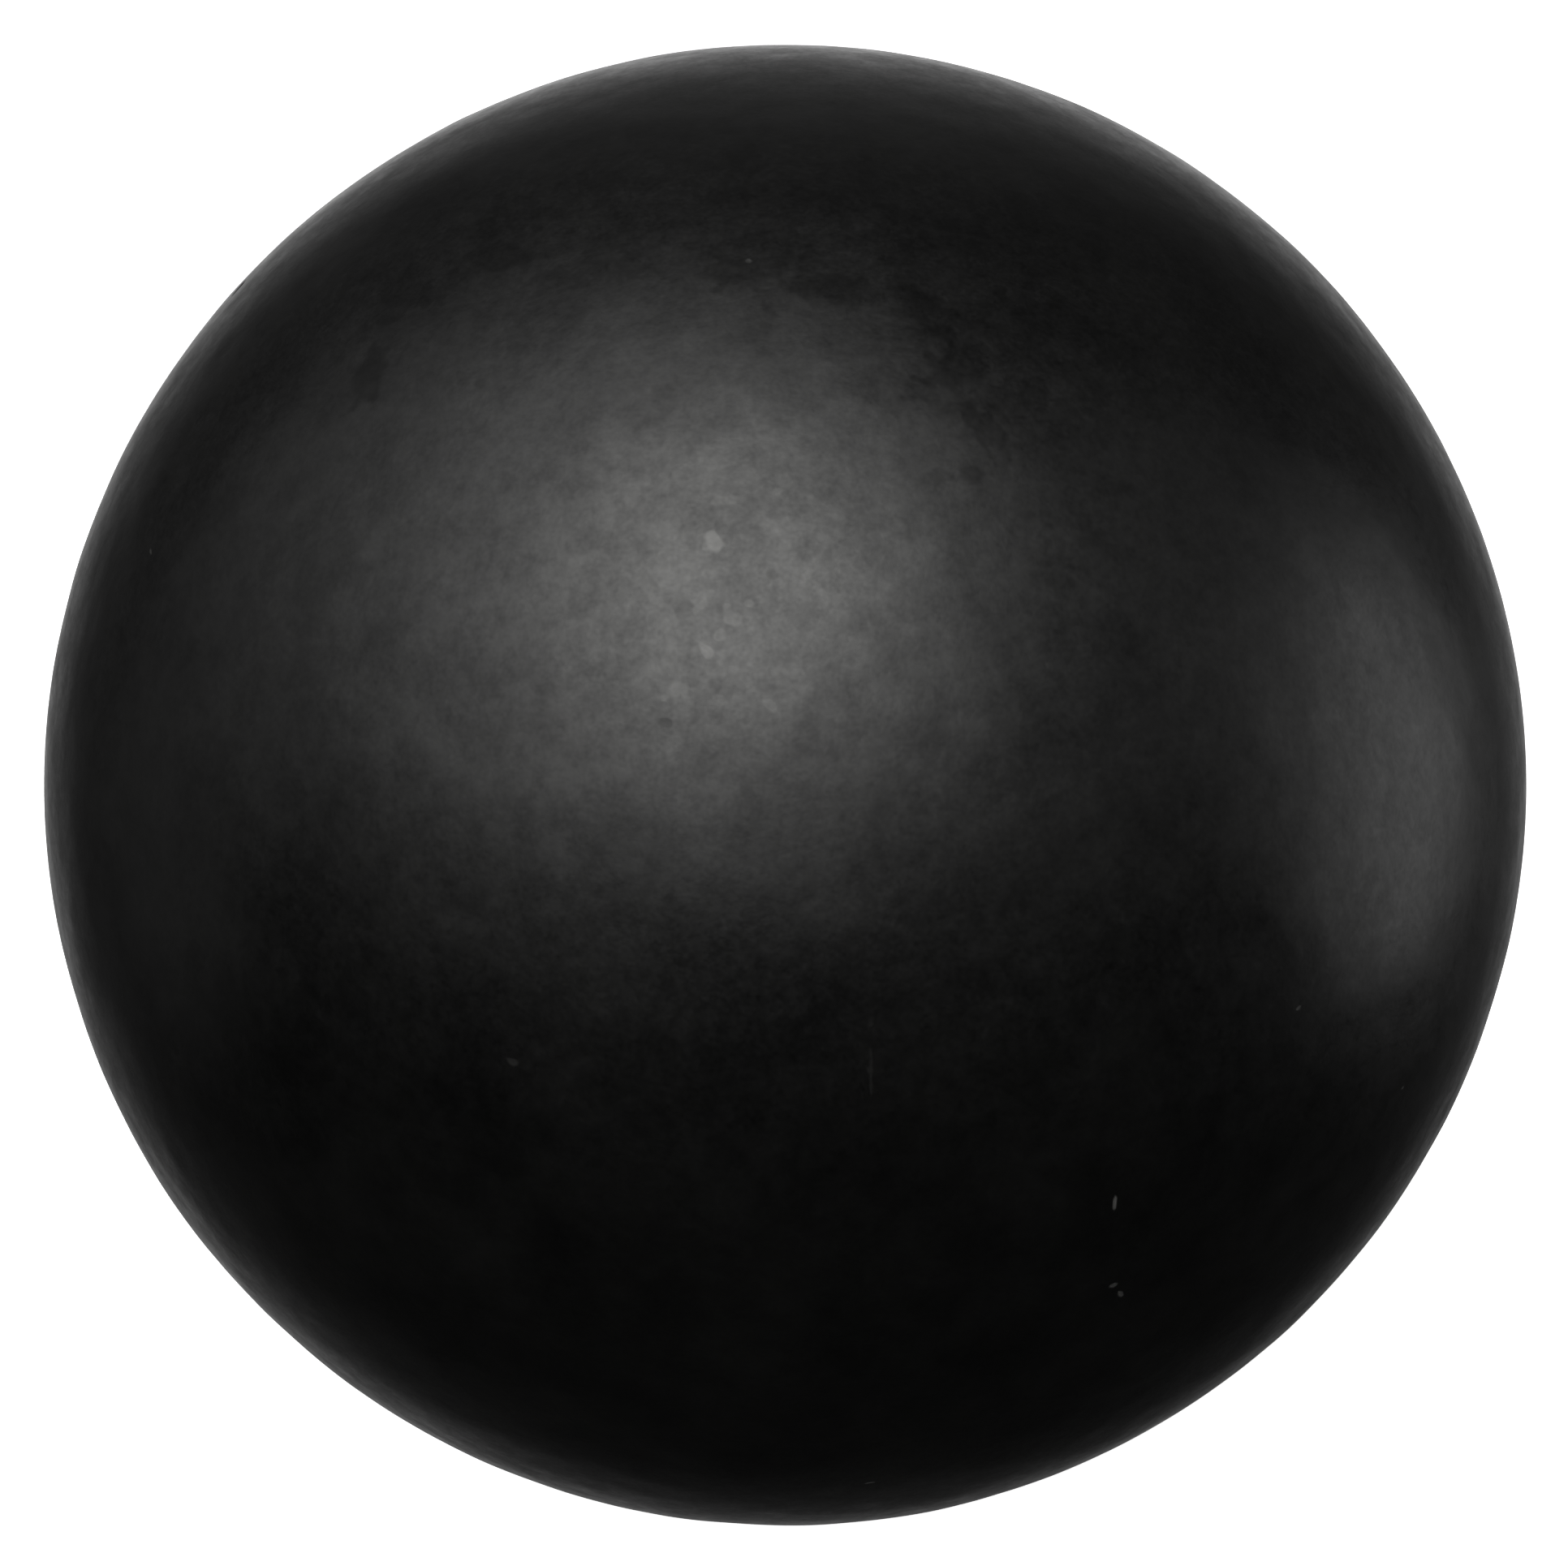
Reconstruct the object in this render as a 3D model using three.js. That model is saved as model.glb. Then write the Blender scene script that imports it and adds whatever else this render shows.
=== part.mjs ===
// A lawn bowl: a black composition ball with a round running surface and two flat sides.
// It is weighted on one side, so that it draws a curve as it slows down.
//
// Millimetres, +Z up. The origin is the centre of the ball and the rolling axis lies along X:
// the bias side, with the small disc and the weight, faces -X, and the plain side faces +X.

import * as THREE from 'three';

// Running surface and flat sides
const ballRadius = 61;            // a size 3 bowl, 122 mm across
const flatSide = 58.75;           // from the centre to each flat side
const sideBlendRadius = 6;        // rounds the flat side into the running surface

// Two half-cups of skin, pressed round the core and joined at the middle
const skinThickness = 9;
const fitGap = 0.3;               // between pieces that sit in one another
const tongueRadius = 55.5;        // inner radius of the tongue that locks the halves
const tongueWidth = 2;
const tongueLength = 2.5;

// The weight, in a bore that opens through the bias side
const boreRadius = 7;
const boreFloor = 29.7;           // from the centre to the bottom of the bore
const weightLength = 18;
const weightChamfer = 0.6;

// Inlays in each flat side: a disc in a recess, and a ring in a groove round it
const slipGap = 0.15;             // round each inlay, the weight and the plug
const discThickness = 2;
const discEdge = 0.25;            // chamfer round the face of a disc
const ringThickness = 1.2;
const biasInlay = { discRadius: 8.5, ringInner: 10.6, ringOuter: 11.8 };
const plainInlay = { discRadius: 11.5, ringInner: 13.4, ringOuter: 14.8 };

// How finely the round shapes are faceted
const segmentsAround = 60;
const degreesPerOuterStep = 6;
const degreesPerInnerStep = 10;
const blendSteps = 3;

const coreRadius = ballRadius - skinThickness - fitGap;
const hollowRadius = ballRadius - skinThickness;
const recessDepth = discThickness + slipGap;
const grooveDepth = ringThickness + slipGap;
const weightFloor = boreFloor + fitGap;
const plugFloor = weightFloor + weightLength + fitGap;
const plugTop = flatSide - recessDepth - fitGap;

// A profile point: its radius from the rolling axis, and how far out along that axis it lies.
function at(radius, along) {
  return new THREE.Vector2(radius, along);
}

// Points along a circle round the origin, from one angle off the axis to another, both in radians.
function arc(radius, from, to, degreesPerStep) {
  const steps = Math.max(1, Math.round(THREE.MathUtils.radToDeg(Math.abs(to - from)) / degreesPerStep));
  const points = [];
  for (let i = 0; i <= steps; i++) {
    const angle = from + (to - from) * (i / steps);
    points.push(at(radius * Math.sin(angle), radius * Math.cos(angle)));
  }
  return points;
}

// Turns a profile round the rolling axis, which is +X out from the centre of the ball. The profile
// goes out along the axis over the outside of the solid, and comes back in over its inside.
function turned(profile) {
  const geometry = new THREE.LatheGeometry(profile, segmentsAround);
  geometry.rotateZ(-Math.PI / 2);
  return geometry;
}

function piece(name, profile, material) {
  const mesh = new THREE.Mesh(turned(profile), material);
  mesh.name = name;
  return mesh;
}

function composition() {
  return new THREE.MeshStandardMaterial({ color: 0x141312, roughness: 0.42, metalness: 0 });
}

function filledResin() {
  return new THREE.MeshStandardMaterial({ color: 0x4a3a2e, roughness: 0.7, metalness: 0 });
}

function castBrass() {
  return new THREE.MeshStandardMaterial({ color: 0xb08d4a, roughness: 0.4, metalness: 1 });
}

function plugResin() {
  return new THREE.MeshStandardMaterial({ color: 0x2a2622, roughness: 0.6, metalness: 0 });
}

function ivoryPlastic() {
  return new THREE.MeshStandardMaterial({ color: 0xe6dcc2, roughness: 0.35, metalness: 0 });
}

// The outside of a half, from the joint out to its flat side: the running surface, then the blend.
function outerSkin() {
  const blendCentre = flatSide - sideBlendRadius;
  const blendAngle = Math.acos(blendCentre / (ballRadius - sideBlendRadius));
  const blendCentreRadius = blendCentre * Math.tan(blendAngle);
  const points = arc(ballRadius, Math.PI / 2, blendAngle, degreesPerOuterStep);
  for (let i = 1; i <= blendSteps; i++) {
    const angle = blendAngle * (1 - i / blendSteps);
    points.push(at(
      blendCentreRadius + sideBlendRadius * Math.sin(angle),
      blendCentre + sideBlendRadius * Math.cos(angle),
    ));
  }
  return points;
}

// The flat side from its rim in to the disc recess, with the ring's groove cut in it.
function flatSideCuts(inlay) {
  const grooveOuter = inlay.ringOuter + slipGap;
  const grooveInner = inlay.ringInner - slipGap;
  const recessRadius = inlay.discRadius + slipGap;
  return [
    at(grooveOuter, flatSide),
    at(grooveOuter, flatSide - grooveDepth),
    at(grooveInner, flatSide - grooveDepth),
    at(grooveInner, flatSide),
    at(recessRadius, flatSide),
    at(recessRadius, flatSide - recessDepth),
  ];
}

// The half that carries the tongue. Its bore runs right through, for the weight and the plug.
function biasSideShell() {
  const boreAngle = Math.asin(boreRadius / hollowRadius);
  const tongueOuter = tongueRadius + tongueWidth;
  return [
    ...arc(hollowRadius, boreAngle, Math.PI / 2, degreesPerInnerStep),
    at(tongueRadius, 0),
    at(tongueRadius, -tongueLength),
    at(tongueOuter, -tongueLength),
    at(tongueOuter, 0),
    ...outerSkin(),
    ...flatSideCuts(biasInlay),
    at(boreRadius, flatSide - recessDepth),
    at(boreRadius, hollowRadius * Math.cos(boreAngle)),
  ];
}

// The half that carries the groove. It is whole across the axis.
function plainSideShell() {
  const grooveInner = tongueRadius - fitGap;
  const grooveOuter = tongueRadius + tongueWidth + fitGap;
  const grooveFloor = tongueLength + fitGap;
  return [
    ...arc(hollowRadius, 0, Math.PI / 2, degreesPerInnerStep),
    at(grooveInner, 0),
    at(grooveInner, grooveFloor),
    at(grooveOuter, grooveFloor),
    at(grooveOuter, 0),
    ...outerSkin(),
    ...flatSideCuts(plainInlay),
    at(0, flatSide - recessDepth),
  ];
}

// A ball with a blind bore for the weight, on the side that faces out along the axis.
function core() {
  const boreAngle = Math.asin(boreRadius / coreRadius);
  return [
    ...arc(coreRadius, Math.PI, boreAngle, degreesPerInnerStep),
    at(boreRadius, boreFloor),
    at(0, boreFloor),
  ];
}

// A round bar along the axis, chamfered at both ends.
function bar(radius, from, to, chamfer) {
  return [
    at(0, from),
    at(radius - chamfer, from),
    at(radius, from + chamfer),
    at(radius, to - chamfer),
    at(radius - chamfer, to),
    at(0, to),
  ];
}

// A disc that lies flush with the flat side, chamfered round its face.
function disc(inlay) {
  return [
    at(0, flatSide - discThickness),
    at(inlay.discRadius, flatSide - discThickness),
    at(inlay.discRadius, flatSide - discEdge),
    at(inlay.discRadius - discEdge, flatSide),
    at(0, flatSide),
  ];
}

// A ring of square section that lies flush with the flat side.
function ring(inlay) {
  return [
    at(inlay.ringInner, flatSide - ringThickness),
    at(inlay.ringOuter, flatSide - ringThickness),
    at(inlay.ringOuter, flatSide),
    at(inlay.ringInner, flatSide),
    at(inlay.ringInner, flatSide - ringThickness),
  ];
}

function plainSide() {
  const side = new THREE.Group();
  side.add(piece('plain_side_shell', plainSideShell(), composition()));
  side.add(piece('plain_side_disc', disc(plainInlay), ivoryPlastic()));
  side.add(piece('plain_side_ring', ring(plainInlay), ivoryPlastic()));
  return side;
}

// Built facing +X like the other side, then turned round to face -X.
function biasSide() {
  const barRadius = boreRadius - slipGap;
  const weight = bar(barRadius, weightFloor, weightFloor + weightLength, weightChamfer);
  const plug = bar(barRadius, plugFloor, plugTop, weightChamfer);
  const side = new THREE.Group();
  side.add(piece('core', core(), filledResin()));
  side.add(piece('bias_side_shell', biasSideShell(), composition()));
  side.add(piece('bias_weight', weight, castBrass()));
  side.add(piece('weight_plug', plug, plugResin()));
  side.add(piece('bias_side_disc', disc(biasInlay), ivoryPlastic()));
  side.add(piece('bias_side_ring', ring(biasInlay), ivoryPlastic()));
  side.rotation.z = Math.PI;
  return side;
}

const lawnBowl = new THREE.Group();
lawnBowl.add(plainSide());
lawnBowl.add(biasSide());

export default lawnBowl;
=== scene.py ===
"""The lawn bowl's looks: two half-shells of worn black composition, a disc and a ring let into each side.

Metres, in the frame of the CAD model: the rolling axis is X, the bias side faces -X and the plain side +X.
The camera looks square to the rolling axis, so that both flat sides lie just past the ball's horizon.
"""

import math

import bmesh
import bpy
import numpy as np
from mathutils import Matrix, Vector


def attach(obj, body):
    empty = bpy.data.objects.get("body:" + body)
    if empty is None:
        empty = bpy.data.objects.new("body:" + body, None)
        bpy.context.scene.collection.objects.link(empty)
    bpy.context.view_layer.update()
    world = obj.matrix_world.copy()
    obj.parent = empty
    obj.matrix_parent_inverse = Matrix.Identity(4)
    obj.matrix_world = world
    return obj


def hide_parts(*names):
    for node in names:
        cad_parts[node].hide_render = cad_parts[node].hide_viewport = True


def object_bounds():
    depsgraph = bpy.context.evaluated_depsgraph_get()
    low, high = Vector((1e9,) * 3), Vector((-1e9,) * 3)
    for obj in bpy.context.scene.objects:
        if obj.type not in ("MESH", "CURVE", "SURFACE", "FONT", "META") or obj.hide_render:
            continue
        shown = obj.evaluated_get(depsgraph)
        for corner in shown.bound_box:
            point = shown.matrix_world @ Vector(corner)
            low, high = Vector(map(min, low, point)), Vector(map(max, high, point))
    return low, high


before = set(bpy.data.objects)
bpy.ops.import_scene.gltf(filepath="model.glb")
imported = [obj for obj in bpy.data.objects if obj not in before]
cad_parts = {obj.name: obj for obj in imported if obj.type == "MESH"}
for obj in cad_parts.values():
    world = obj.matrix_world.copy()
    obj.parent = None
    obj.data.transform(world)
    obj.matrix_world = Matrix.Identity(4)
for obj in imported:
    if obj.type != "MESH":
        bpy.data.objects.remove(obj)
cad_low, cad_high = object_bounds()

MM = 0.001
SEED = 1922
TINY = 1e-9
BIAS_SIDE, PLAIN_SIDE = -1, 1  # the sign of X on either side of the joint between the halves

# ---------------------------------------------------------------- sizes, as in the CAD model


def radii(node):
    """The least and greatest radius of a CAD node about the rolling axis."""
    corners = np.array([v.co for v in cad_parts[node].data.vertices])
    away = np.hypot(corners[:, 1], corners[:, 2])
    return away.min(), away.max()


BALL_RADIUS = cad_high.z
FLAT_SIDE = cad_high.x
SIDE_BLEND = 6 * MM  # radius of the round between the running surface and a flat side
SKIN_THICKNESS = 9 * MM
HOLLOW_RADIUS = BALL_RADIUS - SKIN_THICKNESS
SLIP_GAP = 0.15 * MM  # round each inlay and the weight
BORE_RADIUS = radii("bias_weight")[1] + SLIP_GAP
DISC_THICKNESS = 2 * MM
RING_THICKNESS = 1.2 * MM
TONGUE_INNER = 55.5 * MM
TONGUE_OUTER = 57.5 * MM
TONGUE_LENGTH = 2.5 * MM
FIT_GAP = 0.3 * MM  # between the tongue and its groove

# ---------------------------------------------------------------- camera

CAMERA_ELEVATION = math.radians(25)
CAMERA_REACH = 3.5  # the camera's distance from the ball's centre, in ball radii
SENSOR_WIDTH = 36.0
BALL_SHARE = 0.9455  # of the picture's width
SHIFT = (-0.00075, 0.00127)  # as far off the middle of the picture as the ball is in the photo
NEAREST_SEEN = 0.01

PICTURE_RIGHT = Vector((1, 0, 0))
PICTURE_UP = Vector((0, math.sin(CAMERA_ELEVATION), math.cos(CAMERA_ELEVATION)))
TO_CAMERA = Vector((0, -math.cos(CAMERA_ELEVATION), math.sin(CAMERA_ELEVATION)))


def make_camera():
    data = bpy.data.cameras.new("camera")
    data.sensor_fit = "HORIZONTAL"
    data.sensor_width = SENSOR_WIDTH
    data.lens = SENSOR_WIDTH * BALL_SHARE / 2 * math.sqrt(CAMERA_REACH * CAMERA_REACH - 1)
    data.shift_x, data.shift_y = SHIFT
    data.clip_start = NEAREST_SEEN
    camera = bpy.data.objects.new("camera", data)
    camera.location = TO_CAMERA * (CAMERA_REACH * BALL_RADIUS)
    camera.rotation_euler = TO_CAMERA.to_track_quat("Z", "Y").to_euler()
    bpy.context.scene.collection.objects.link(camera)
    bpy.context.scene.camera = camera


# ---------------------------------------------------------------- light


def studio_direction(azimuth, elevation):
    """A direction from the ball, in degrees: azimuth 0 is towards the camera, 90 the picture's right."""
    a, e = math.radians(azimuth), math.radians(elevation)
    side = PICTURE_RIGHT * math.sin(a) + TO_CAMERA * math.cos(a)
    return side * math.cos(e) + PICTURE_UP * math.sin(e)


def panel(name, azimuth, elevation, half_width, half_height, radiance, distance=1.0):
    """An oval panel that faces the ball. Its half sizes are the angles, in degrees, it fills from there."""
    width = 2 * distance * math.tan(math.radians(half_width))
    height = 2 * distance * math.tan(math.radians(half_height))
    data = bpy.data.lights.new(name, "AREA")
    data.shape = "ELLIPSE"
    data.size, data.size_y = width, height
    area = math.pi / 4 * width * height
    data.energy = radiance * math.pi * area
    light = bpy.data.objects.new(name, data)
    direction = studio_direction(azimuth, elevation)
    light.location = direction * distance
    light.rotation_euler = direction.to_track_quat("Z", "Y").to_euler()
    light.visible_camera = False
    bpy.context.scene.collection.objects.link(light)
    return light


def make_lights():
    """Three panels behind one another make the wide highlight, and the right one the crescent.

    The left and front panels only lift the dark a little."""
    key = panel("key_panel", -10, 27, 19.5, 20.7, 3.42)
    key.data.color = (1.0, 0.995, 0.97)
    panel("middle_panel", -15, 29, 42, 37, 1.14, distance=1.1)
    panel("wide_panel", -39, 28, 50, 42, 0.26, distance=1.2)
    panel("left_panel", -89, 17, 18, 42, 0.11)
    panel("right_panel", 96, 2, 18, 20, 0.87)
    panel("front_panel", 34, 16, 68, 28, 0.16, distance=1.4)


# ---------------------------------------------------------------- node trees


class Nodes:
    """Short names for building one node tree."""

    def __init__(self, tree):
        self.tree = tree
        tree.nodes.clear()

    def add(self, kind, **settings):
        node = self.tree.nodes.new(kind)
        for name, value in settings.items():
            setattr(node, name, value)
        return node

    def link(self, output, socket):
        self.tree.links.new(output, socket)

    def feed(self, socket, value):
        """Gives a socket a number, a vector, a colour or another node's output."""
        if isinstance(value, bpy.types.NodeSocket):
            self.link(value, socket)
        elif value is not None:
            socket.default_value = value

    def math(self, operation, a, b):
        node = self.add("ShaderNodeMath", operation=operation)
        self.feed(node.inputs[0], a)
        self.feed(node.inputs[1], b)
        return node.outputs[0]

    def facing(self, vector, direction):
        """The cosine between a vector and a fixed direction, and 0 behind it."""
        dot = self.add("ShaderNodeVectorMath", operation="DOT_PRODUCT")
        self.feed(dot.inputs[0], vector)
        self.feed(dot.inputs[1], direction)
        return self.math("MAXIMUM", dot.outputs["Value"], 0.0)

    def noise(self, vector, scale, detail=2.0, roughness=0.5):
        node = self.add("ShaderNodeTexNoise")
        self.feed(node.inputs["Vector"], vector)
        node.inputs["Scale"].default_value = scale
        node.inputs["Detail"].default_value = detail
        node.inputs["Roughness"].default_value = roughness
        return node.outputs["Fac"]

    def span(self, value, low, high, to_low, to_high):
        """Maps low..high to to_low..to_high, held at both ends."""
        node = self.add("ShaderNodeMapRange", clamp=True)
        self.feed(node.inputs["Value"], value)
        node.inputs["From Min"].default_value = low
        node.inputs["From Max"].default_value = high
        node.inputs["To Min"].default_value = to_low
        node.inputs["To Max"].default_value = to_high
        return node.outputs["Result"]

    def mix(self, share, a, b):
        node = self.add("ShaderNodeMix", data_type="RGBA")
        self.feed(node.inputs["Factor"], share)
        self.feed(node.inputs["A"], a)
        self.feed(node.inputs["B"], b)
        return node.outputs["Result"]

    def bump(self, height, distance, normal=None):
        node = self.add("ShaderNodeBump")
        self.feed(node.inputs["Height"], height)
        self.feed(node.inputs["Normal"], normal)
        node.inputs["Distance"].default_value = distance
        node.inputs["Strength"].default_value = 1.0
        return node.outputs["Normal"]

    def place(self):
        """A point's place on the object, in metres."""
        return self.add("ShaderNodeTexCoord").outputs["Object"]

    def attribute(self, name):
        return self.add("ShaderNodeAttribute", attribute_name=name).outputs["Fac"]


# ---------------------------------------------------------------- surroundings

ROOM_GLOW = 0.015
PALE_PARTS = (  # of the room: azimuth, elevation, tightness and radiance
    (180, 7, 13.5, 4.0),
    (195, -14, 20, 0.4),
    (177, 57, 16, 0.105),
    (0, 90, 1, 0.04),
)


def make_world():
    """White to the camera. What the ball mirrors is a dim room, with a pale wall that lights its rim."""
    world = bpy.data.worlds.new("studio")
    world.use_nodes = True
    n = Nodes(world.node_tree)
    direction = n.add("ShaderNodeTexCoord").outputs["Generated"]
    glow = ROOM_GLOW
    for azimuth, elevation, tightness, radiance in PALE_PARTS:
        towards = studio_direction(azimuth, elevation)
        part = n.math("POWER", n.facing(direction, towards), tightness)
        glow = n.math("ADD", n.math("MULTIPLY", part, radiance), glow)
    dim = n.add("ShaderNodeBackground")
    n.link(glow, dim.inputs["Strength"])
    white = n.add("ShaderNodeBackground")
    white.inputs["Color"].default_value = (1, 1, 1, 1)
    mixed = n.add("ShaderNodeMixShader")
    n.link(n.add("ShaderNodeLightPath").outputs["Is Camera Ray"], mixed.inputs[0])
    n.link(dim.outputs[0], mixed.inputs[1])
    n.link(white.outputs[0], mixed.inputs[2])
    n.link(mixed.outputs[0], n.add("ShaderNodeOutputWorld").inputs["Surface"])
    bpy.context.scene.world = world


FLOOR_HALF = 6.0
FLOOR_FADE = (0.3, 1.2)  # how far from its middle the floor starts and ends fading into white
FLOOR_GLOW = (0.9, 1.0)  # before the fade and after it


def floor_material():
    material = bpy.data.materials.new("pale_floor")
    material.use_nodes = True
    n = Nodes(material.node_tree)
    shader = n.add("ShaderNodeBsdfPrincipled")
    shader.inputs["Base Color"].default_value = (0.9, 0.9, 0.9, 1)
    shader.inputs["Roughness"].default_value = 0.9
    shader.inputs["Specular IOR Level"].default_value = 0.0
    shader.inputs["Emission Color"].default_value = (1, 1, 1, 1)
    away = n.add("ShaderNodeVectorMath", operation="LENGTH")
    n.link(n.place(), away.inputs[0])
    n.link(n.span(away.outputs["Value"], *FLOOR_FADE, *FLOOR_GLOW), shader.inputs["Emission Strength"])
    n.link(shader.outputs[0], n.add("ShaderNodeOutputMaterial").inputs["Surface"])
    return material


def make_floor():
    """A pale floor that fades into the white beyond it. The ball doesn't mirror it."""
    half = FLOOR_HALF
    mesh = bpy.data.meshes.new("floor")
    corners = [(-half, -half, 0), (half, -half, 0), (half, half, 0), (-half, half, 0)]
    mesh.from_pydata(corners, [], [(0, 1, 2, 3)])
    mesh.materials.append(floor_material())
    floor = bpy.data.objects.new("floor", mesh)
    floor.location.z = cad_low.z
    floor.visible_glossy = False
    floor.visible_shadow = False
    bpy.context.scene.collection.objects.link(floor)


# ---------------------------------------------------------------- the skin's relief

MARK_REACH = 3  # how far past its oval a mark's ragged edge may run, as a square
MARK_SHARPNESS = 1.4  # how much sooner than its depth a mark's colour is full
CLEAR_OF_SIDES = 0.92  # how far along the rolling axis a scattered nick may lie, in ball radii
RELIEF_FADE = 2.5 * MM  # over which the relief dies out before a flat side
SKIN_LEVEL = 0.04 * MM  # how far the worn skin lies under the true ball, so that no ripple stands out of it
NORMAL_STEP = 0.04 * MM


def smooth_step(x):
    x = np.clip(x, 0, 1)
    return x * x * (3 - 2 * x)


class Ripples:
    """A smooth random height: many small waves of about one length, in random directions."""

    def __init__(self, random, wavelength, height, count=90):
        directions = random.normal(size=(count, 3))
        directions /= np.linalg.norm(directions, axis=1, keepdims=True)
        lengths = wavelength * random.uniform(0.75, 1.35, count)
        self.waves = directions * (2 * math.pi / lengths)[:, None]
        self.phases = random.uniform(0, 2 * math.pi, count)
        self.height = height * math.sqrt(2 / count)

    def at(self, points):
        total = np.zeros(len(points))
        for wave, phase in zip(self.waves, self.phases):
            total += np.cos(points @ wave + phase)
        return self.height * total


class Mark:
    """An oval mark on the running surface, ragged at its edge, placed by its direction from the centre.

    Sizes are in millimetres and angles in degrees. Depth is how deep it is hollowed, pale how light it is
    painted:
    its bared material, or a painted glint, and dim how much less it mirrors. A large mark is ragged on a
    larger scale."""

    def __init__(self, azimuth, elevation, half_length, half_width, depth, turn=0.0, pale=0.0, dim=0.0):
        a, e = math.radians(azimuth), math.radians(elevation)
        self.out = np.array([math.sin(a) * math.cos(e), -math.cos(a) * math.cos(e), math.sin(e)])
        east = np.array([math.cos(a), math.sin(a), 0.0])
        north = np.cross(self.out, east)
        t = math.radians(turn)
        self.along = east * math.cos(t) + north * math.sin(t)
        self.across = np.cross(self.out, self.along)
        self.half_length, self.half_width = half_length * MM, half_width * MM
        self.depth, self.pale, self.dim = depth * MM, pale, dim
        self.coarseness = max(1, half_width)

    def inside(self, points):
        """1 at the middle of the mark, 0 at its edge and outside."""
        near = points - self.out * BALL_RADIUS
        square = (near @ self.along / self.half_length) ** 2 + (near @ self.across / self.half_width) ** 2
        share = np.zeros(len(points))
        close = (square < MARK_REACH) & (points @ self.out > 0)
        ragged = RAGGED.at(points[close] / self.coarseness)
        share[close] = np.clip(1 - square[close] * (1 + ragged), 0, 1)
        return share

    def at(self, points):
        return -self.depth * self.inside(points) ** 2


def nicks():
    """Small cuts and specks, which show light against the black, and a deep chip."""
    return [
        Mark(20.9, -3.5, 0.65, 0.16, 0.03, turn=92, pale=0.24),   # the upper of two on the right
        Mark(21.7, -10.7, 0.36, 0.26, 0.02, turn=20, pale=0.12),  # the lower one, bent
        Mark(22.4, -11.7, 0.5, 0.2, 0.02, turn=-55, pale=0.11),
        Mark(34.3, 6.6, 0.3, 0.14, 0.02, turn=15, pale=0.1),
        Mark(46.4, -4.0, 0.22, 0.16, 0.02, pale=0.1),
        Mark(-58.5, 30.5, 0.4, 0.14, 0.02, turn=-20, pale=0.12),
        Mark(-4.4, 59.3, 0.24, 0.2, 0.02, pale=0.15),
        Mark(-16.6, 7.2, 0.4, 0.3, 0.01, pale=0.04),
        Mark(6.8, -31.2, 0.4, 0.15, 0.02, turn=15, pale=0.15),
        Mark(5.1, 7.8, 2.3, 0.14, 0.004, turn=90, pale=0.02),     # a faint upright scratch
        Mark(-85.8, 46, 1.0, 0.75, 0.3, turn=-75),                # a chip in the outline at the upper left
    ]


def glint_flecks():
    """Pale spots painted as glints in the middle of the main highlight, with a few dull ones among them."""
    return [
        Mark(-5.4, 39.3, 0.95, 0.65, 0.002, turn=-45, pale=0.42),
        Mark(-3.6, 34.7, 0.85, 0.55, 0.002, turn=-30, pale=0.27),
        Mark(-2.6, 35.6, 0.4, 0.3, 0.002, turn=10, pale=0.2),
        Mark(-6.0, 35.4, 0.5, 0.35, 0.002, turn=50, pale=0.14),
        Mark(-4.6, 33.7, 0.55, 0.4, 0.002, turn=60, pale=0.2),
        Mark(-5.4, 32.7, 0.55, 0.4, 0.002, turn=-20, pale=0.24),
        Mark(-7.3, 30.4, 0.8, 0.6, 0.002, turn=30, pale=0.15),
        Mark(-1.0, 29.6, 0.75, 0.4, 0.002, turn=-40, pale=0.15),
        Mark(-4.2, 29.9, 0.5, 0.35, 0.002, turn=-30, pale=0.12),
        Mark(1.5, 37.2, 0.8, 0.35, 0.002, turn=50, pale=0.12),
        Mark(-0.7, 42.5, 0.5, 0.35, 0.002, turn=30, pale=0.14),
        Mark(-4.6, 41.9, 1.3, 0.4, 0.002, turn=5, pale=0.13),
        Mark(-8.0, 28.4, 0.55, 0.4, 0.006, turn=20, dim=0.28),
        Mark(-0.9, 37.3, 0.5, 0.4, 0.004, turn=-30, dim=0.2),
        Mark(3.7, 37.0, 0.6, 0.5, 0.004, turn=80, dim=0.13),
        Mark(-7.1, 35.0, 0.9, 0.7, 0, turn=40, dim=0.13),
    ]


SMALL_PATCHES = (  # the azimuth and elevation round which some lie, how widely they spread, and how many
    (16.5, 47, 4, 8),
    (2, 57, 4, 6),
    (22, 39.5, 2, 3),
    (-36, 50, 4, 5),
)


def bare_patches(random):
    """Spots rubbed bare of the polish, which look dark along the upper edge of the main highlight."""
    marks = [
        Mark(16.8, 50.6, 2.4, 1.8, 0, turn=15, dim=0.36),
        Mark(17.6, 45.9, 2.8, 1.2, 0, turn=-55, dim=0.3),
        Mark(15.4, 43.1, 1.2, 0.8, 0, turn=10, dim=0.25),
        Mark(15.0, 55.0, 3.6, 1.8, 0, turn=-60, dim=0.3),
        Mark(5.5, 57.0, 4.0, 1.6, 0, turn=-12, dim=0.28),
        Mark(-5.0, 58.4, 3.6, 1.5, 0, turn=8, dim=0.24),
        Mark(-42.3, 47.2, 2.8, 1.7, 0, turn=120, dim=0.36),
        Mark(-46.0, 53.5, 3.0, 2.4, 0, turn=10, dim=0.3),
        Mark(-36.0, 57.8, 3.4, 1.6, 0, turn=15, dim=0.3),
    ]
    for azimuth, elevation, spread, count in SMALL_PATCHES:
        for _ in range(count):
            east = random.normal(0, spread) / math.cos(math.radians(elevation))
            north = random.normal(0, spread)
            length = random.uniform(0.6, 1.8)
            width = length * random.uniform(0.4, 0.8)
            turn = random.uniform(0, 180)
            marks.append(Mark(azimuth + east, elevation + north, length, width, 0, turn, dim=0.14))
    return marks


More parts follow.
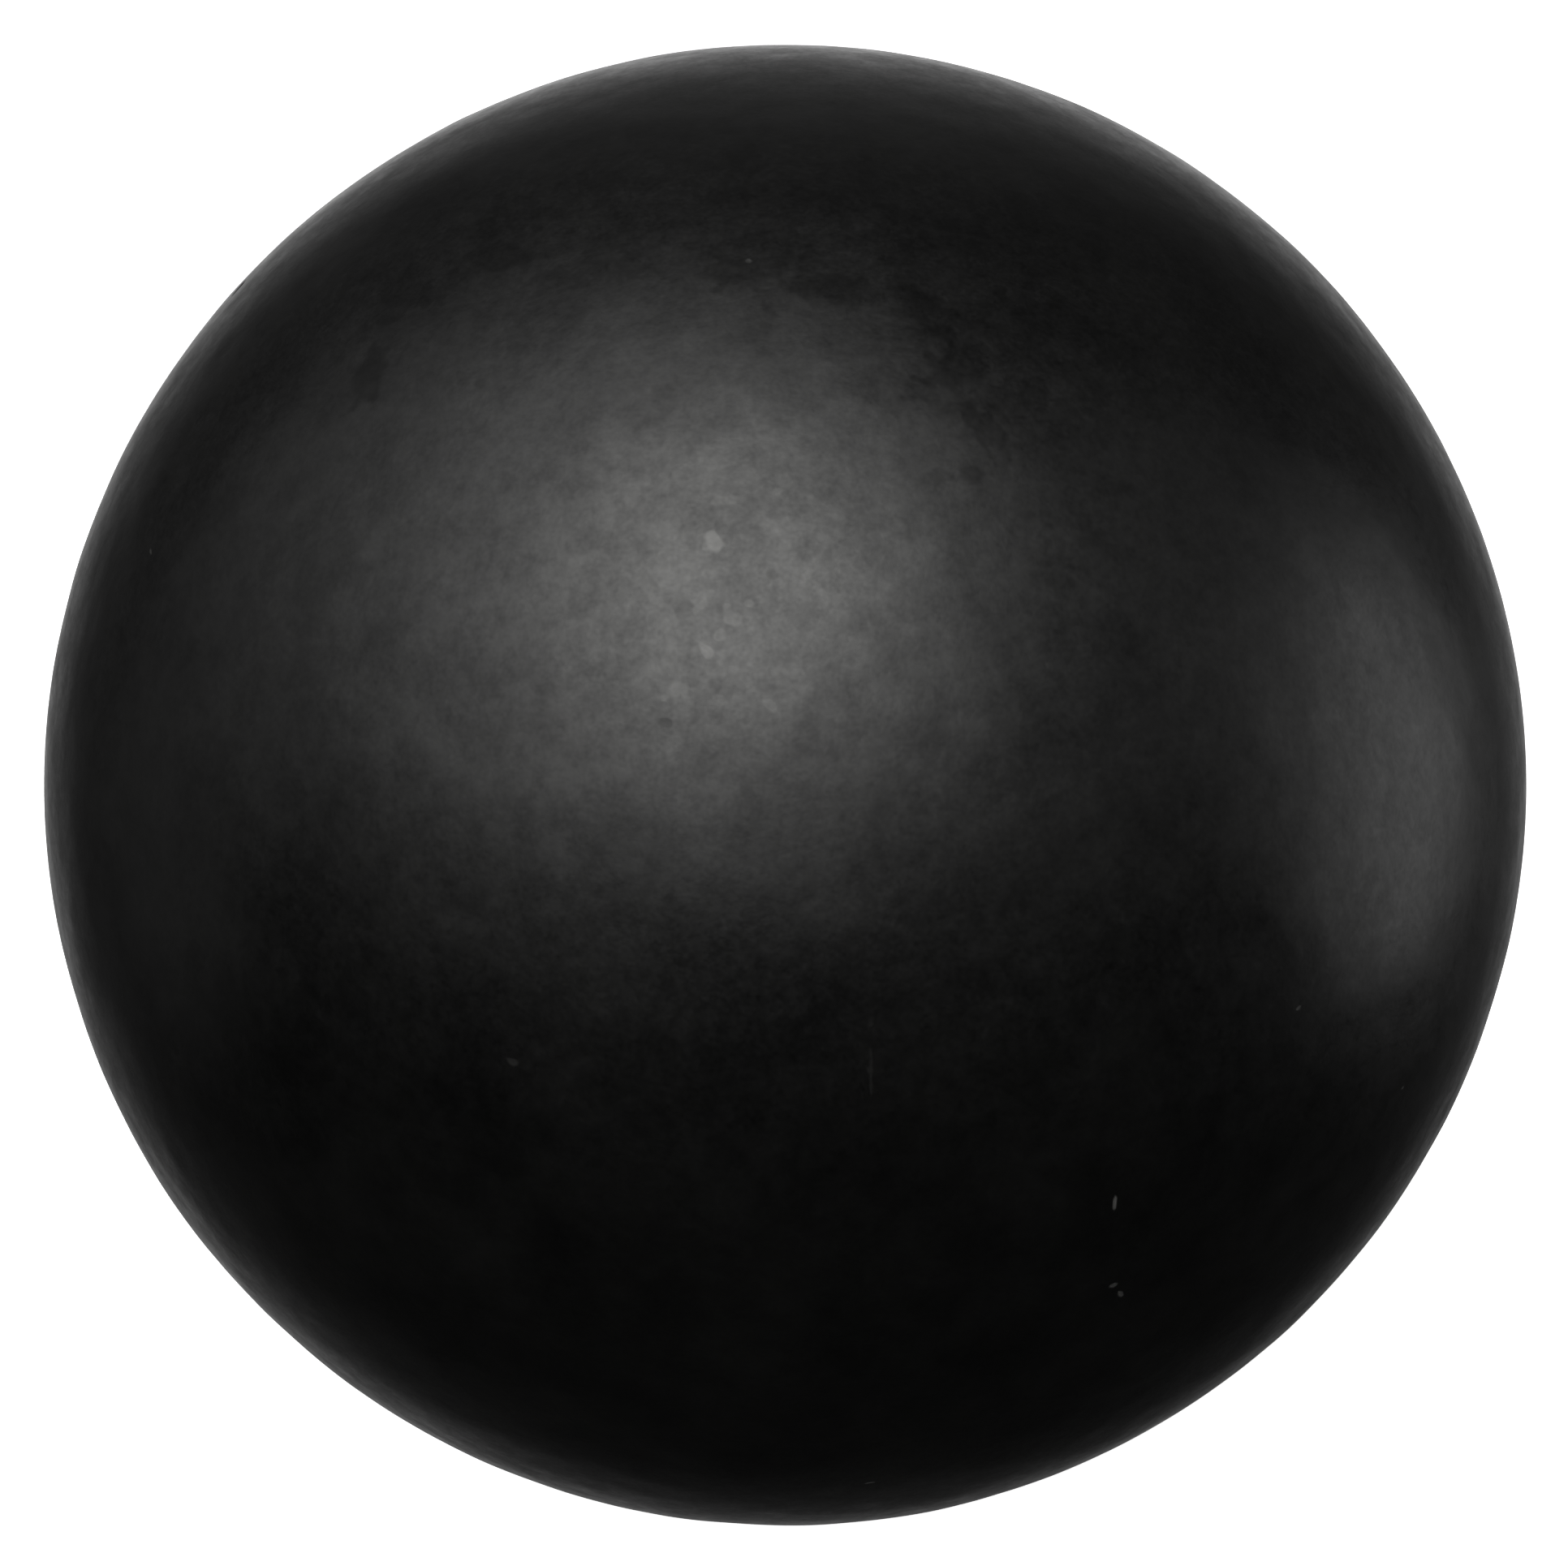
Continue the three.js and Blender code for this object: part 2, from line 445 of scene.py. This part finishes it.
def scattered_nicks(random, count=26):
    """More small nicks of the same kind all over the side away from the camera."""
    marks = []
    for _ in range(count):
        azimuth = random.uniform(100, 260)
        elevation = math.degrees(math.asin(random.uniform(-0.95, 0.95)))
        length = random.uniform(0.2, 0.8)
        width = random.uniform(0.12, 0.22)
        depth = random.uniform(0.01, 0.03)
        turn = random.uniform(0, 180)
        pale = random.uniform(0.05, 0.3)
        marks.append(Mark(azimuth, elevation, length, width, depth, turn, pale))
    return [mark for mark in marks if abs(mark.out[0]) < CLEAR_OF_SIDES]


random = np.random.default_rng(SEED)
SWELLS = Ripples(random, 9 * MM, 0.014 * MM)
PEBBLES = Ripples(random, 3.6 * MM, 0.005 * MM)
RAGGED = Ripples(random, 0.9 * MM, 0.3)  # not a height, but how unevenly the edges of the marks run
MARKS = nicks() + glint_flecks() + bare_patches(random) + scattered_nicks(random)


def relief(points):
    """How far the skin stands out from the true ball at each point, in metres: never above it."""
    height = SWELLS.at(points) + PEBBLES.at(points) - SKIN_LEVEL
    height = np.minimum(height, 0)
    for mark in MARKS:
        height += mark.at(points)
    from_side = (FLAT_SIDE - np.abs(points[:, 0])) / RELIEF_FADE
    return height * smooth_step(from_side)


def relief_normals(points, normals):
    """The surface's normals once the relief stands on it."""
    helper = np.where(np.abs(normals[:, :1]) < 0.7, [[1.0, 0, 0]], [[0, 1.0, 0]])
    one = np.cross(normals, helper)
    one /= np.linalg.norm(one, axis=1, keepdims=True)
    two = np.cross(normals, one)
    tilted = normals.copy()
    for tangent in (one, two):
        step = tangent * NORMAL_STEP
        slope = (relief(points + step) - relief(points - step)) / (2 * NORMAL_STEP)
        tilted -= slope[:, None] * tangent
    return tilted / np.linalg.norm(tilted, axis=1, keepdims=True)


# ---------------------------------------------------------------- meshes


def turned(name, profile, segments, side, closed=False):
    """A mesh turned round the rolling axis from (radius, along) points that go out over its outside.

    They are placed for the plain side, and a bias-side mesh is turned round to face -X. A closed profile
    goes on to its first point again. A point on the axis becomes a single vertex."""
    angles = np.arange(segments) * (2 * math.pi / segments)
    vertices, rows = [], []
    for radius, along in profile:
        if radius < TINY:
            rows.append([len(vertices)] * segments)
            vertices.append((along, 0.0, 0.0))
        else:
            rows.append(list(range(len(vertices), len(vertices) + segments)))
            vertices += list(zip([along] * segments, radius * np.cos(angles), radius * np.sin(angles)))
    if closed:
        rows.append(rows[0])
    faces = []
    for near, far in zip(rows, rows[1:]):
        for j in range(segments):
            k = (j + 1) % segments
            corners = [near[j], near[k], far[k], far[j]]
            faces.append([c for i, c in enumerate(corners) if c != corners[i - 1]])  # a triangle at the axis
    mesh = bpy.data.meshes.new(name)
    mesh.from_pydata(vertices, [], faces)
    if side == BIAS_SIDE:
        mesh.transform(Matrix.Rotation(math.pi, 4, "Z"))
    obj = bpy.data.objects.new(name, mesh)
    bpy.context.scene.collection.objects.link(obj)
    return obj


def vertex_points(mesh):
    points = np.empty(len(mesh.vertices) * 3)
    mesh.vertices.foreach_get("co", points)
    return points.reshape(-1, 3)


def move_vertices(mesh, points):
    mesh.vertices.foreach_set("co", points.ravel())


def add_attribute(mesh, name, values):
    mesh.attributes.new(name, "FLOAT", "POINT").data.foreach_set("value", values.astype(np.float32))


def smooth_by_angle(obj, crease):
    obj.data.polygons.foreach_set("use_smooth", [True] * len(obj.data.polygons))
    obj.data.set_sharp_from_angle(angle=math.radians(crease))


# ---------------------------------------------------------------- half-shells

SEGMENTS = 500
ROWS = 98
INNER_ROWS = 12
BLEND_ROWS = 7
LIP = 0.12 * MM  # rounding of each edge cut into a flat side
ROUND_MIDDLE = 0.3  # how far a small round's middle lies in from each of its two faces, in its radius
ON_SURFACE = 0.02 * MM  # how near a vertex lies to a surface that it belongs to
REACH_PAST_MARK = 0.5 * MM  # how far past a mark the faces are split
SMALL_MARK = 1 * MM  # the half width under which a mark needs finer faces
SHELL_CREASE = 30  # degrees between two faces, past which their edge stays sharp


def arc(radius, start, stop, steps):
    """Points on a circle round the ball's centre, between two angles off the rolling axis."""
    return [(radius * math.sin(a), radius * math.cos(a)) for a in np.linspace(start, stop, steps + 1)]


def blend_centre():
    """Radius and place along the axis of the centre of the round between running surface and flat side."""
    along = FLAT_SIDE - SIDE_BLEND
    return math.sqrt((BALL_RADIUS - SIDE_BLEND) ** 2 - along**2), along


def blend_edge():
    """The angle off the rolling axis at which the running surface ends and that round begins."""
    return math.atan2(*blend_centre())


def running_surface():
    """The outside of a half-shell, from the joint out to the edge of its flat side."""
    centre_radius, centre_along = blend_centre()
    edge = blend_edge()
    points = arc(BALL_RADIUS, math.pi / 2, edge, ROWS)
    for a in np.linspace(edge, 0, BLEND_ROWS + 1)[1:]:
        points.append((centre_radius + SIDE_BLEND * math.sin(a), centre_along + SIDE_BLEND * math.cos(a)))
    return points


def lipped_cut(outer, inner, depth):
    """A groove in the flat side, from its outer wall to its inner one, with rounded lips.

    An inner radius of 0 leaves the inner wall out, for a recess."""
    floor = FLAT_SIDE - depth
    middle = ROUND_MIDDLE * LIP
    points = [(outer + LIP, FLAT_SIDE), (outer + middle, FLAT_SIDE - middle), (outer, FLAT_SIDE - LIP)]
    points.append((outer, floor))
    if inner > 0:
        points.append((inner, floor))
        points += [(inner, FLAT_SIDE - LIP), (inner - middle, FLAT_SIDE - middle), (inner - LIP, FLAT_SIDE)]
    return points


def flat_side(disc, ring):
    """The flat side from its edge in to the floor of the disc's recess."""
    ring_inner, ring_outer = radii(ring)
    disc_radius = radii(disc)[1]
    points = lipped_cut(ring_outer + SLIP_GAP, ring_inner - SLIP_GAP, RING_THICKNESS + SLIP_GAP)
    points += lipped_cut(disc_radius + SLIP_GAP, 0, DISC_THICKNESS + SLIP_GAP)
    return points


def bias_shell_profile():
    """The half with the tongue, whose bore runs right through."""
    bore_angle = math.asin(BORE_RADIUS / HOLLOW_RADIUS)
    points = arc(HOLLOW_RADIUS, bore_angle, math.pi / 2, INNER_ROWS)
    points += [(TONGUE_INNER, 0), (TONGUE_INNER, -TONGUE_LENGTH)]
    points += [(TONGUE_OUTER, -TONGUE_LENGTH), (TONGUE_OUTER, 0)]
    points += running_surface() + flat_side("bias_side_disc", "bias_side_ring")
    points.append((BORE_RADIUS, FLAT_SIDE - DISC_THICKNESS - SLIP_GAP))
    return points


def plain_shell_profile():
    """The half with the groove, whole across the axis."""
    inner, outer = TONGUE_INNER - FIT_GAP, TONGUE_OUTER + FIT_GAP
    depth = TONGUE_LENGTH + FIT_GAP
    points = arc(HOLLOW_RADIUS, 0, math.pi / 2, INNER_ROWS)
    points += [(inner, 0), (inner, depth), (outer, depth), (outer, 0)]
    points += running_surface() + flat_side("plain_side_disc", "plain_side_ring")
    points.append((0, FLAT_SIDE - DISC_THICKNESS - SLIP_GAP))
    return points


def on_the_ball(points):
    """Which points of the outside lie on the running surface, and not on a blend."""
    return np.abs(points[:, 0]) < BALL_RADIUS * math.cos(blend_edge())


def on_the_outside(points):
    """Which points lie on the running surface or its blends."""
    away = np.hypot(points[:, 1], points[:, 2])
    centre_radius, centre_along = blend_centre()
    on_ball = np.abs(np.linalg.norm(points, axis=1) - BALL_RADIUS) < ON_SURFACE
    from_blend = np.hypot(away - centre_radius, np.abs(points[:, 0]) - centre_along)
    on_blend = (np.abs(from_blend - SIDE_BLEND) < ON_SURFACE) & (away > centre_radius - ON_SURFACE / 2)
    return on_ball | on_blend


def outside_normals(points):
    """The normals of the true ball and its blends, at points on them."""
    centre_radius, _ = blend_centre()
    away = np.hypot(points[:, 1], points[:, 2])
    outward = points / np.maximum(away, TINY)[:, None]
    sine = np.clip((away - centre_radius) / SIDE_BLEND, 0, 1)
    blended = outward * sine[:, None]
    blended[:, 0] = np.sign(points[:, 0]) * np.sqrt(1 - sine**2)
    ball = points / np.linalg.norm(points, axis=1, keepdims=True)
    return np.where(on_the_ball(points)[:, None], ball, blended)


def faces_near(mesh, marks):
    """The faces within reach of any of the marks."""
    centres = np.array([face.calc_center_median() for face in mesh.faces])
    near = np.zeros(len(centres), bool)
    for mark in marks:
        away = np.linalg.norm(centres - mark.out * BALL_RADIUS, axis=1)
        near |= away < mark.half_length + REACH_PAST_MARK
    return [face for face, is_near in zip(mesh.faces, near) if is_near]


def refine_near_marks(obj):
    """Splits the faces round the marks, and again round the small ones, so that their shapes are true."""
    mesh = bmesh.new()
    mesh.from_mesh(obj.data)
    small_marks = [mark for mark in MARKS if mark.half_width < SMALL_MARK]
    for marks in (MARKS, small_marks):
        mesh.edges.index_update()
        edges = {edge.index: edge for face in faces_near(mesh, marks) for edge in face.edges}
        bmesh.ops.subdivide_edges(mesh, edges=list(edges.values()), cuts=2, use_grid_fill=True)
    mesh.to_mesh(obj.data)
    mesh.free()


def keep_normals(mesh, outside, shading):
    """Sets the corner normals of the faces that lie wholly on the outside."""
    vertex_normals = np.zeros((len(mesh.vertices), 3))
    vertex_normals[outside] = shading
    corner_vertices = np.empty(len(mesh.loops), np.int32)
    mesh.loops.foreach_get("vertex_index", corner_vertices)
    starts = np.empty(len(mesh.polygons), np.int32)
    totals = np.empty(len(mesh.polygons), np.int32)
    mesh.polygons.foreach_get("loop_start", starts)
    mesh.polygons.foreach_get("loop_total", totals)
    whole = np.logical_and.reduceat(outside[corner_vertices], starts)
    on_skin = np.repeat(whole, totals)
    corner_normals = np.where(on_skin[:, None], vertex_normals[corner_vertices], 0.0)
    mesh.normals_split_custom_set(corner_normals.tolist())


def give_relief(obj):
    """Raises the relief on a half-shell, with normals that run on smoothly across the halves' joint."""
    mesh = obj.data
    points = vertex_points(mesh)
    outside = on_the_outside(points)
    base = points[outside]
    away = np.linalg.norm(base, axis=1, keepdims=True)
    base = np.where(on_the_ball(base)[:, None], base * (BALL_RADIUS / away), base)
    normals = outside_normals(base)
    pale, dim = np.zeros(len(points)), np.zeros(len(points))
    for mark in MARKS:
        share = smooth_step(MARK_SHARPNESS * mark.inside(base))
        # pale is the light colour of bared material at the nicks, and a painted glint at the flecks in the
        # highlight
        pale[outside] = np.maximum(pale[outside], mark.pale * share)
        dim[outside] += (1 - dim[outside]) * mark.dim * share
    points[outside] = base + normals * relief(base)[:, None]
    move_vertices(mesh, points)
    add_attribute(mesh, "pale", pale)
    add_attribute(mesh, "dim", dim)
    smooth_by_angle(obj, SHELL_CREASE)
    keep_normals(mesh, outside, relief_normals(base, normals))


def make_shell(name, node, side, profile, closed, material):
    """Half of the skin, with its relief. Its profile is closed where it never reaches the rolling axis."""
    shell = turned(name, profile, SEGMENTS, side, closed)
    refine_near_marks(shell)
    give_relief(shell)
    shell.data.materials.append(material)
    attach(shell, "root")
    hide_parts(node)


# ---------------------------------------------------------------- discs and rings

INLAY_SEGMENTS = 540
DISC_ROW = 0.13 * MM  # from one row of vertices to the next over a disc's face
DISC_EDGE = 0.3 * MM  # radius of the round at the edge of a disc's face
RING_EDGE = 0.12 * MM
INLAY_CREASE = 50  # degrees between two faces, past which their edge stays sharp
ROSETTE_SHARE = 0.68  # radius of the rosette, in the disc's radius
BORDER_SHARE = 0.84  # radius of the border line, in the disc's radius
PETALS = 6
ENGRAVED_DEPTH = 0.16 * MM
ENGRAVED_WIDTH = 0.42 * MM


def line_cut(distance):
    """How deep an engraved line is cut at a distance from its middle, from 0 to 1."""
    return smooth_step(1 - np.abs(distance) / (ENGRAVED_WIDTH / 2))


def rosette(flat, radius):
    """A plain six-petal rosette struck with a compass: how deep it is cut at each point, from 0 to 1."""
    away = np.linalg.norm(flat, axis=1)
    cut = line_cut(away - radius)
    for k in range(PETALS):
        a = 2 * math.pi * k / PETALS
        centre = radius * np.array([math.cos(a), math.sin(a)])
        petal = line_cut(np.linalg.norm(flat - centre, axis=1) - radius)
        cut = np.maximum(cut, np.where(away <= radius, petal, 0))
    return cut


def disc_profile(radius, rows):
    floor = FLAT_SIDE - DISC_THICKNESS
    points = [(0, floor), (radius, floor), (radius, FLAT_SIDE - DISC_EDGE)]
    for a in np.radians([30, 60, 90]):
        inset = DISC_EDGE * (1 - math.cos(a))
        points.append((radius - inset, FLAT_SIDE - DISC_EDGE + DISC_EDGE * math.sin(a)))
    points += [(r, FLAT_SIDE) for r in np.linspace(radius - DISC_EDGE, 0, rows)[1:]]
    return points


def make_disc(name, node, side, material):
    """An inlaid disc with a rosette and a border line cut in its face, both filled dark."""
    radius = radii(node)[1]
    rows = round(radius / DISC_ROW)
    disc = turned(name, disc_profile(radius, rows), INLAY_SEGMENTS, side)
    mesh = disc.data
    points = vertex_points(mesh)
    flat = points[:, 1:]
    border = line_cut(np.linalg.norm(flat, axis=1) - BORDER_SHARE * radius)
    on_face = np.abs(np.abs(points[:, 0]) - FLAT_SIDE) < ON_SURFACE
    cut = np.where(on_face, np.maximum(rosette(flat, ROSETTE_SHARE * radius), border), 0)
    points[:, 0] -= side * ENGRAVED_DEPTH * cut
    move_vertices(mesh, points)
    add_attribute(mesh, "engraved", cut)
    smooth_by_angle(disc, INLAY_CREASE)
    mesh.materials.append(material)
    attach(disc, "root")
    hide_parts(node)


def ring_profile(inner, outer):
    floor = FLAT_SIDE - RING_THICKNESS
    middle = ROUND_MIDDLE * RING_EDGE
    return [
        (inner, floor),
        (outer, floor),
        (outer, FLAT_SIDE - RING_EDGE),
        (outer - middle, FLAT_SIDE - middle),
        (outer - RING_EDGE, FLAT_SIDE),
        (inner + RING_EDGE, FLAT_SIDE),
        (inner + middle, FLAT_SIDE - middle),
        (inner, FLAT_SIDE - RING_EDGE),
    ]


def make_ring(name, node, side, material):
    """An inlaid ring, with the edges of its face rounded."""
    ring = turned(name, ring_profile(*radii(node)), INLAY_SEGMENTS, side, closed=True)
    smooth_by_angle(ring, INLAY_CREASE)
    ring.data.materials.append(material)
    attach(ring, "root")
    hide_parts(node)


# ---------------------------------------------------------------- materials


def new_material(name):
    material = bpy.data.materials.new(name)
    material.use_nodes = True
    n = Nodes(material.node_tree)
    shader = n.add("ShaderNodeBsdfPrincipled")
    n.link(shader.outputs[0], n.add("ShaderNodeOutputMaterial").inputs["Surface"])
    return material, n, shader


def composition_material():
    """Black composition, polished and then worn: a mottled gloss over a faint pebbled grain, with pale nicks
    and painted glints.
    """
    blackest = (0.0004, 0.0004, 0.0004, 1)
    blackish = (0.0012, 0.0012, 0.0011, 1)
    # the grey of bared material at the nicks, also used for the glints painted in the main highlight
    bared_and_glint = (0.12, 0.12, 0.115, 1)
    material, n, shader = new_material("black_composition")
    place = n.place()
    clouds = n.noise(place, 90, detail=3, roughness=0.6)
    wear = n.noise(place, 170, detail=5, roughness=0.6)
    film = n.noise(place, 240, detail=4, roughness=0.95)
    mottle = n.noise(place, 420, detail=3, roughness=0.6)
    pebble = n.noise(place, 900)
    grain = n.noise(place, 2600, detail=2, roughness=0.6)
    black = n.mix(n.span(clouds, 0.3, 0.7, 0, 1), blackest, blackish)
    # pale marks: bared nicks, and glints painted in the middle of the main highlight
    n.link(n.mix(n.attribute("pale"), black, bared_and_glint), shader.inputs["Base Color"])
    rough = n.span(clouds, 0.3, 0.7, 0.35, 0.38)
    rough = n.math("ADD", rough, n.span(wear, 0.4, 0.6, -0.012, 0.012))
    rough = n.math("ADD", rough, n.span(mottle, 0.3, 0.7, -0.02, 0.02))
    rough = n.math("ADD", rough, n.span(pebble, 0.3, 0.7, -0.025, 0.025))
    rough = n.math("ADD", rough, n.span(grain, 0.3, 0.7, -0.03, 0.03))
    rough = n.math("ADD", rough, n.span(pebble, 0.62, 0.75, 0, -0.04))
    n.link(rough, shader.inputs["Roughness"])
    polish = n.mix(n.span(film, 0.35, 0.65, 0, 1), (0.79, 0.79, 0.79, 1), (1.21, 1.21, 1.2, 1))
    n.link(n.mix(n.attribute("dim"), polish, (0, 0, 0, 1)), shader.inputs["Specular Tint"])
    normal = n.bump(mottle, 0.018 * MM)
    normal = n.bump(pebble, 0.009 * MM, normal)
    normal = n.bump(grain, 0.004 * MM, normal)
    n.link(normal, shader.inputs["Normal"])
    return material


def ivory_material(name, tint):
    """Aged ivory plastic: faintly clouded, with specks of dirt and dark filling in its engraved lines."""
    dirt = (0.25, 0.19, 0.12, 1)
    filling = (0.012, 0.011, 0.010, 1)
    aged = (tint[0] * 0.86, tint[1] * 0.82, tint[2] * 0.72, 1)
    material, n, shader = new_material(name)
    place = n.place()
    clouds = n.noise(place, 180, detail=4, roughness=0.6)
    specks = n.noise(place, 1600)
    dirty = n.mix(n.span(specks, 0.62, 0.75, 0, 0.5), n.mix(clouds, tint, aged), dirt)
    filled = n.mix(n.span(n.attribute("engraved"), 0.15, 0.45, 0, 1), dirty, filling)
    n.link(filled, shader.inputs["Base Color"])
    n.link(n.span(clouds, 0.3, 0.7, 0.3, 0.44), shader.inputs["Roughness"])
    n.link(n.bump(specks, 0.008 * MM), shader.inputs["Normal"])
    return material


def resin_material(name, dark, light, grain):
    """Moulded resin with filler showing as grain."""
    material, n, shader = new_material(name)
    filler = n.noise(n.place(), grain, detail=4, roughness=0.65)
    n.link(n.mix(n.span(filler, 0.35, 0.65, 0, 1), dark, light), shader.inputs["Base Color"])
    n.link(n.span(filler, 0.3, 0.7, 0.55, 0.8), shader.inputs["Roughness"])
    n.link(n.bump(filler, 0.05 * MM), shader.inputs["Normal"])
    return material


def brass_material():
    """Turned brass, dulled, with fine rings left by the tool."""
    bright = (0.62, 0.43, 0.18, 1)
    dull = (0.42, 0.27, 0.11, 1)
    material, n, shader = new_material("turned_brass")
    place = n.place()
    tarnish = n.noise(place, 260, detail=4, roughness=0.6)
    n.link(n.mix(tarnish, bright, dull), shader.inputs["Base Color"])
    shader.inputs["Metallic"].default_value = 1.0
    n.link(n.span(tarnish, 0.3, 0.7, 0.28, 0.5), shader.inputs["Roughness"])
    rings = n.add("ShaderNodeTexWave", wave_type="BANDS", bands_direction="X")
    n.link(place, rings.inputs["Vector"])
    rings.inputs["Scale"].default_value = 900
    rings.inputs["Distortion"].default_value = 0.4
    n.link(n.bump(rings.outputs["Fac"], 0.01 * MM), shader.inputs["Normal"])
    return material


def dress_node(node, material):
    """Gives its own material to a CAD node that keeps its shape."""
    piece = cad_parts[node]
    for holder in piece.material_slots:
        holder.material = material


# ---------------------------------------------------------------- the bowl


def make_skin():
    composition = composition_material()
    bored, whole = bias_shell_profile(), plain_shell_profile()
    make_shell("bias_half_skin", "bias_side_shell", BIAS_SIDE, bored, True, composition)
    make_shell("plain_half_skin", "plain_side_shell", PLAIN_SIDE, whole, False, composition)


def make_inlays():
    disc_ivory = ivory_material("disc_ivory", (0.76, 0.69, 0.54, 1))
    ring_ivory = ivory_material("ring_ivory", (0.74, 0.66, 0.50, 1))
    make_disc("bias_disc_inlay", "bias_side_disc", BIAS_SIDE, disc_ivory)
    make_disc("plain_disc_inlay", "plain_side_disc", PLAIN_SIDE, disc_ivory)
    make_ring("bias_ring_inlay", "bias_side_ring", BIAS_SIDE, ring_ivory)
    make_ring("plain_ring_inlay", "plain_side_ring", PLAIN_SIDE, ring_ivory)


def dress_inside():
    core_resin = resin_material("core_resin", (0.05, 0.032, 0.022, 1), (0.11, 0.075, 0.05, 1), 900)
    plug_resin = resin_material("plug_resin", (0.02, 0.018, 0.016, 1), (0.05, 0.045, 0.04, 1), 1400)
    dress_node("core", core_resin)
    dress_node("weight_plug", plug_resin)
    dress_node("bias_weight", brass_material())


bpy.context.scene.view_settings.view_transform = "Standard"
make_camera()
make_lights()
make_world()
make_floor()
make_skin()
make_inlays()
dress_inside()
